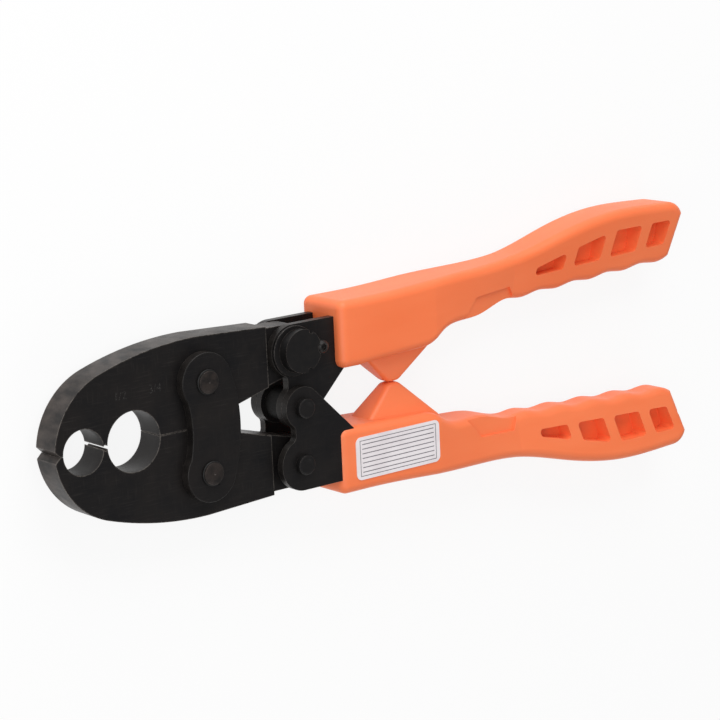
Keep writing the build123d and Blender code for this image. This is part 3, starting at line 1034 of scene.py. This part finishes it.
@dataclass
class FrontLink:
    """The two link plates, their pins and snap rings."""

    paints: Paints
    pin_reach: float = 32.8
    pin_height: float = 18.4
    pin_radius: float = 4.6
    half_length: float = 12.45
    plate_back: float = 10.95
    groove_depth: float = 0.4
    ring_thickness: float = 0.8
    rim: float = 0.45
    dimple_radius: float = 0.42
    dimple_depth: float = 0.3
    crown: float = 1.9
    ring_room: float = 0.05

    def pin_levels(self) -> tuple[Pair, ...]:
        """Lists the levels of a link pin.

        Returns:
            The levels from its far end to its near end.
        """
        radius = self.pin_radius
        neck = radius - self.groove_depth
        end = self.half_length
        ring_top = self.plate_back + self.ring_thickness
        half = (
            (neck, self.plate_back),
            (neck, ring_top),
            (radius, ring_top),
            (radius, end - self.rim),
            (radius - self.rim * 0.3, end - self.rim * 0.35),
            (radius - self.rim, end),
            (radius - self.rim - self.crown, end),
            (self.dimple_radius, end),
            (self.dimple_radius * 0.2, end - self.dimple_depth),
        )
        far = tuple((r, -z) for r, z in reversed(half))
        return (*far, (radius, -self.plate_back), (radius, self.plate_back), *half)

    def pins(self) -> None:
        """Turns both link pins."""
        for name, side in (("upper_link", 1), ("lower_link", -1)):
            place = (self.pin_reach, side * self.pin_height)
            piece = Turning(place, self.pin_levels()).shape()
            paint = TurnedSteel(
                f"{name}_turned", place, dark=(0.013, 0.0108, 0.0102), brown=(0.042, 0.032, 0.028)
            ).material()
            Bench.settle(
                piece, f"{name}_turned_pin", Body.FRONT_LINK, Slot.PIN_STEEL, paint, (f"{name}_pin",)
            )

    def rings(self) -> None:
        """Bends a snap ring for each groove of both pins."""
        for side_name, side in (("upper", 1), ("lower", -1)):
            for end_name, end in (("near", 1), ("far", -1)):
                height = end * (self.plate_back + self.ring_thickness / 2)
                place = (self.pin_reach, side * self.pin_height)
                ring = SnapRing(place, self.pin_radius + self.ring_room, height, mouth_deg=-80.0).shape()
                node = f"{side_name}_{end_name}_ring"
                Bench.settle(
                    ring, f"{node}_wire", Body.FRONT_LINK, Slot.SPRING_STEEL, self.paints.spring, (node,)
                )


@dataclass
class LeverTrain:
    """The lever plates, the adjusting cam with its lock screw, the headed pins and their spacers."""

    paints: Paints
    jaw_pivot: Pair = (77.0, 23.2)
    centre_pivot: Pair = (78.2, 0.0)
    outer_back: float = 12.0
    head_radius: float = 4.2
    head_height: float = 2.6
    shank_radius: float = 3.8
    groove: Pair = (0.4, 0.8)
    groove_end: float = 0.3
    shank_round: float = 0.25
    ring_room: float = 0.05
    inner_face: float = 5.2
    inner_back: float = 8.5
    journal_radius: float = 4.0
    journal_offset: float = 0.5
    hub_radius: float = 6.0
    cam_foot_shift: float = 1.2
    cam_shift: float = 2.1
    cam_radius: float = 8.9
    cam_flange_radius: float = 10.4
    cam_flange_top: float = 9.7
    cam_top: float = 12.9
    cam_edge: float = 0.2
    notch_radius: float = 1.25
    notches_deg: tuple[float, ...] = (-70.0, 60.0)
    screw_distance: float = 12.6
    screw_radius: float = 2.9
    screw_room: float = 0.25
    screw_head: float = 4.3
    thread_radius: float = 1.6
    socket_radius: float = 1.4
    socket_depth: float = 1.6
    cutter_depth: float = 8.0

    def headed_pins(self) -> None:
        """Turns the centre pin and the lower jaw's pin."""
        depth, wide = self.groove
        groove_top = -self.outer_back
        groove_low = groove_top - wide
        low = groove_low - self.groove_end
        back = self.outer_back
        top = back + self.head_height
        shank = self.shank_radius
        head = self.head_radius
        levels = (
            (0.4, low + 0.3),
            (0.9, low),
            (shank - self.shank_round, low),
            (shank, low + self.shank_round),
            (shank, groove_low),
            (shank - depth, groove_low),
            (shank - depth, groove_top),
            (shank, groove_top),
            (shank, back),
            (head, back),
            (head, top - 0.75),
            (head - 0.2, top - 0.3),
            (head - 0.7, top),
            (head - 1.5, top),
            (head - 1.65, top - 0.06),
            (0.4, top - 0.06),
        )
        for name, place in (
            ("centre_pivot_pin", self.centre_pivot),
            ("lower_jaw_pin", (self.jaw_pivot[0], -self.jaw_pivot[1])),
        ):
            piece = Turning(place, levels).shape()
            paint = TurnedSteel(f"{name}_turned", place).material()
            Bench.settle(piece, f"{name}_turned", Body.LOWER_HANDLE, Slot.PIN_STEEL, paint, (name,))

    def cam(self) -> None:
        """Turns the adjusting cam and notches its rim."""
        shift = self.cam_shift
        face = self.inner_face
        back = self.inner_back
        depth, wide = self.groove
        groove_low = -back - wide
        low = groove_low - self.groove_end
        journal = self.journal_radius
        flange = self.cam_flange_radius
        flange_top = self.cam_flange_top
        levels = (
            (journal - 2 * depth, low),
            (journal - self.shank_round, low),
            (journal, low + self.shank_round),
            (journal, groove_low),
            (journal - depth, groove_low),
            (journal - depth, -back),
            (journal, -back),
            (journal, -face),
            (journal, -face, self.journal_offset),
            (journal, face, self.journal_offset),
            (self.hub_radius, face),
            (self.hub_radius, back),
            (flange, back),
            (flange, flange_top - self.cam_edge),
            (flange - self.cam_edge, flange_top),
            (self.cam_radius, flange_top, self.cam_foot_shift),
            (self.cam_radius, self.cam_top, shift),
        )
        piece = Turning(self.jaw_pivot, levels, 96).shape()
        reach, height = self.jaw_pivot
        cutters = []
        for turn in self.notches_deg:
            angle = math.radians(turn)
            x = reach + shift + self.cam_radius * math.cos(angle)
            y = height + self.cam_radius * math.sin(angle)
            cutters.append(((x, y), self.notch_radius, flange_top))
        cutters.append(((reach + self.screw_distance, height), self.screw_radius + self.screw_room, 8.0))
        for place, radius, low in cutters:
            Bench.cut(piece, Bench.post(place, low + self.cutter_depth / 2, radius, self.cutter_depth))
        Bench.soften(piece, width_mm=0.32, segments=3, angle_deg=50.0)
        paint = TurnedSteel("cam_turned", (reach + shift, height)).material()
        Bench.settle(piece, "notched_cam", Body.UPPER_HANDLE, Slot.PIN_STEEL, paint, ("adjusting_cam",))

    def lock_screw(self) -> None:
        """Turns the button-head screw that holds the cam and sinks its six-sided socket."""
        place = (self.jaw_pivot[0] + self.screw_distance, self.jaw_pivot[1])
        low = self.inner_back
        top = low + self.screw_head
        thread = self.thread_radius
        head = self.screw_radius
        levels = (
            (thread - self.shank_round, self.inner_face),
            (thread, self.inner_face + self.shank_round),
            (thread, low),
            (head, low),
            (head, low + 2.7),
            (head * 0.96, low + 3.3),
            (head * 0.84, low + 3.9),
            (head * 0.62, top),
        )
        piece = Turning(place, levels, 48).shape()
        Bench.cut(piece, Bench.post(place, top, self.socket_radius, 2 * self.socket_depth, 6))
        Bench.soften(piece, width_mm=0.08, angle_deg=50.0)
        paint = TurnedSteel("screw_turned", place, brown=(0.055, 0.05, 0.047)).material()
        stands_for = ("cam_lock_screw",)
        Bench.settle(piece, "button_lock_screw", Body.UPPER_HANDLE, Slot.PIN_STEEL, paint, stands_for)

    def rings(self) -> None:
        """Bends the snap rings on the far side of the cam and of both headed pins."""
        lower = (self.jaw_pivot[0], -self.jaw_pivot[1])
        half = self.groove[1] / 2
        shank = self.shank_radius
        for node, place, radius, height, body in (
            ("cam_ring", self.jaw_pivot, self.journal_radius, -self.inner_back - half, Body.UPPER_HANDLE),
            ("centre_pin_ring", self.centre_pivot, shank, -self.outer_back - half, Body.LOWER_HANDLE),
            ("jaw_pin_ring", lower, shank, -self.outer_back - half, Body.LOWER_HANDLE),
        ):
            ring = SnapRing(place, radius + self.ring_room, height, mouth_deg=0.0).shape()
            Bench.settle(ring, f"{node}_wire", body, Slot.SPRING_STEEL, self.paints.spring, (node,))


@dataclass
class Grips:
    """Both moulded grips, their stops and the write-on plate with its printed ruling."""

    paints: Paints
    face_mm: float = 13.2
    stop_reach: float = 132.7
    stop_gap: float = 0.26
    tip_mm: Pair = (5.6, 6.6)
    root_mm: Pair = (44.6, 16.6)
    root_height: float = 18.0
    stop_round: float = 1.9
    plate_middle: Pair = (125.4, -26.2)
    plate_size: Pair = (45.0, 18.0)
    plate_thick: float = 0.3
    rule_pitch: float = 1.95
    rule_count: int = 7
    rule_width: float = 0.34
    margin: float = 2.0
    frame_extra: float = 1.2
    frame_share: float = 0.8
    rule_inset: float = 2.4
    ink_lift: float = 0.012
    ink_thick: float = 0.02

    def stop(self, name: str, side: int, body: Body) -> None:
        """Models one stop: a blunt wedge whose flanks run on into the grip.

        Args:
            name: Name of the piece.
            side: 1 above the tool's middle plane, -1 below it.
            body: Body that it rides on.
        """
        Bench.clear()
        tip = self.stop_gap / 2
        tall = self.root_height - tip
        bpy.ops.mesh.primitive_cube_add(size=1.0)
        piece = bpy.context.active_object
        piece.location = Vector((self.stop_reach, side * (tip + tall / 2), 0.0)) * MM
        piece.scale = Vector((self.root_mm[0], tall, self.root_mm[1])) * MM
        bpy.ops.object.transform_apply(location=True, rotation=True, scale=True)
        Bench.edit(piece)
        Bench.select_faces(piece, lambda face: side * face.normal.y < -0.9)
        bpy.ops.transform.resize(
            value=(self.tip_mm[0] / self.root_mm[0], 1.0, self.tip_mm[1] / self.root_mm[1]),
            center_override=(self.stop_reach * MM, side * tip * MM, 0.0),
        )
        Bench.clear()
        Bench.soften(piece, self.stop_round, segments=6, angle_deg=20.0)
        Bench.settle(piece, name, body, Slot.GRIP, self.paints.grip)

    def ruling(self) -> None:
        """Prints a frame and plain rules on the write-on plate."""
        top = (self.face_mm + self.plate_thick + self.ink_lift) * MM
        middle = Vector((self.plate_middle[0] * MM, self.plate_middle[1] * MM, top))
        raised = {"value": (0.0, 0.0, self.ink_thick * MM)}
        width = self.plate_size[0] - 2 * self.margin
        height = self.plate_size[1] - 2 * self.margin + self.frame_extra
        frame = Bench.panel(middle, width, height)
        bpy.ops.mesh.inset(thickness=self.rule_width * self.frame_share * MM)
        bpy.ops.mesh.delete(type="FACE")
        bpy.ops.mesh.select_all(action="SELECT")
        bpy.ops.mesh.extrude_region_move(TRANSFORM_OT_translate=raised)
        parts = [frame]
        first = self.plate_middle[1] + self.rule_pitch * (self.rule_count - 1) / 2
        for row in range(self.rule_count):
            at = Vector((middle.x, (first - row * self.rule_pitch) * MM, top))
            parts.append(Bench.panel(at, width - self.rule_inset, self.rule_width))
            bpy.ops.mesh.extrude_region_move(TRANSFORM_OT_translate=raised)
        Bench.clear()
        Bench.settle(Bench.join(parts), "plate_ruling", Body.LOWER_HANDLE, Slot.LABEL, self.paints.ink)


@dataclass
class Studio:
    """Camera, floor and soft lights."""

    eye_mm: Triple = (-487.73, 216.475, 763.465)
    right: Triple = (0.776915, -0.044392, 0.628038)
    down: Triple = (-0.163352, -0.977565, 0.132977)
    ahead: Triple = (0.608045, -0.205903, -0.766737)
    lens: float = 120.02
    sensor: float = 36.0
    floor_size: float = 12.0
    floor_gap_mm: float = 0.05
    aim: Triple = (0.12, 0.0, 0.0)
    room_light: float = 0.33
    lamps: tuple[tuple[str, Triple, float, float], ...] = (
        ("top_softbox", (0.10, 0.95, 0.50), 0.9, 9.0),
        ("front_softbox", (-0.80, 0.10, 0.95), 0.9, 7.0),
        ("side_softbox", (0.35, -0.95, 0.75), 0.8, 2.2),
    )

    def camera(self) -> None:
        """Sets the camera where the photograph was taken from."""
        data = bpy.data.cameras.new("photo_camera")
        data.lens = self.lens
        data.sensor_width = self.sensor
        data.clip_start = 0.01
        data.clip_end = 100.0
        eye = bpy.data.objects.new("photo_camera", data)
        bpy.context.scene.collection.objects.link(eye)
        turn = Matrix((self.right, [-v for v in self.down], [-v for v in self.ahead])).transposed()
        eye.matrix_world = Matrix.Translation(Vector(self.eye_mm) * MM) @ turn.to_4x4()
        bpy.context.scene.camera = eye
        LOG.info("camera at %s", tuple(round(v, 4) for v in eye.location))

    def lights(self) -> None:
        """Hangs soft lamps round the tool and lights the world evenly."""
        for name, place, size, power in self.lamps:
            data = bpy.data.lights.new(name, "AREA")
            data.shape = "SQUARE"
            data.size = size
            data.energy = power
            lamp = bpy.data.objects.new(name, data)
            bpy.context.scene.collection.objects.link(lamp)
            lamp.location = place
            aim = Vector(self.aim) - lamp.location
            lamp.rotation_mode = "QUATERNION"
            lamp.rotation_quaternion = aim.to_track_quat("-Z", "Y")
        world = bpy.data.worlds.new("soft_room")
        bpy.context.scene.world = world
        world.use_nodes = True
        tree = world.node_tree
        tree.nodes.clear()
        output = tree.nodes.new("ShaderNodeOutputWorld")
        sky = tree.nodes.new("ShaderNodeBackground")
        seen = tree.nodes.new("ShaderNodeBackground")
        mixed = tree.nodes.new("ShaderNodeMixShader")
        rays = tree.nodes.new("ShaderNodeLightPath")
        sky.inputs["Color"].default_value = rgba(WHITE)
        sky.inputs["Strength"].default_value = self.room_light
        seen.inputs["Color"].default_value = rgba(WHITE)
        seen.inputs["Strength"].default_value = 1.0
        tree.links.new(rays.outputs["Is Camera Ray"], mixed.inputs["Fac"])
        tree.links.new(sky.outputs["Background"], mixed.inputs[1])
        tree.links.new(seen.outputs["Background"], mixed.inputs[2])
        tree.links.new(mixed.outputs["Shader"], output.inputs["Surface"])
        LOG.info("lit by %d lamps", len(self.lamps))

    def floor(self, lowest: float, paint: Paint) -> None:
        """Lays the floor just under the tool.

        Args:
            lowest: Height of the tool's lowest point, in metres.
            paint: Finish of the floor.
        """
        height = lowest - self.floor_gap_mm * MM
        bpy.ops.mesh.primitive_plane_add(size=self.floor_size, location=(0.0, 0.0, height))
        ground = bpy.context.active_object
        ground.name = "ground"
        ground.data.materials.append(paint)
        ground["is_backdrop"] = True
        LOG.info("floor at %.4f m", ground.location.z)


def main() -> None:
    """Builds the looks of the tool and its studio."""
    logging.basicConfig(level=logging.INFO, format="%(message)s")
    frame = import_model()
    cad_box = [list(corner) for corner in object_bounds()]
    bpy.ops.object.select_all(action="DESELECT")
    paints = Paints()
    dress(frame["nodes"], paints)
    Jaws(paints).stamps()
    link = FrontLink(paints)
    link.pins()
    link.rings()
    levers = LeverTrain(paints)
    levers.headed_pins()
    levers.cam()
    levers.lock_screw()
    levers.rings()
    grips = Grips(paints)
    grips.stop("upper_stop", 1, Body.UPPER_HANDLE)
    grips.stop("lower_stop", -1, Body.LOWER_HANDLE)
    grips.ruling()
    studio = Studio()
    studio.camera()
    studio.lights()
    studio.floor(cad_box[0][2], paints.ground)
    bpy.context.scene.view_settings.view_transform = "Standard"
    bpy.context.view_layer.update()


if __name__ == "__main__":
    main()
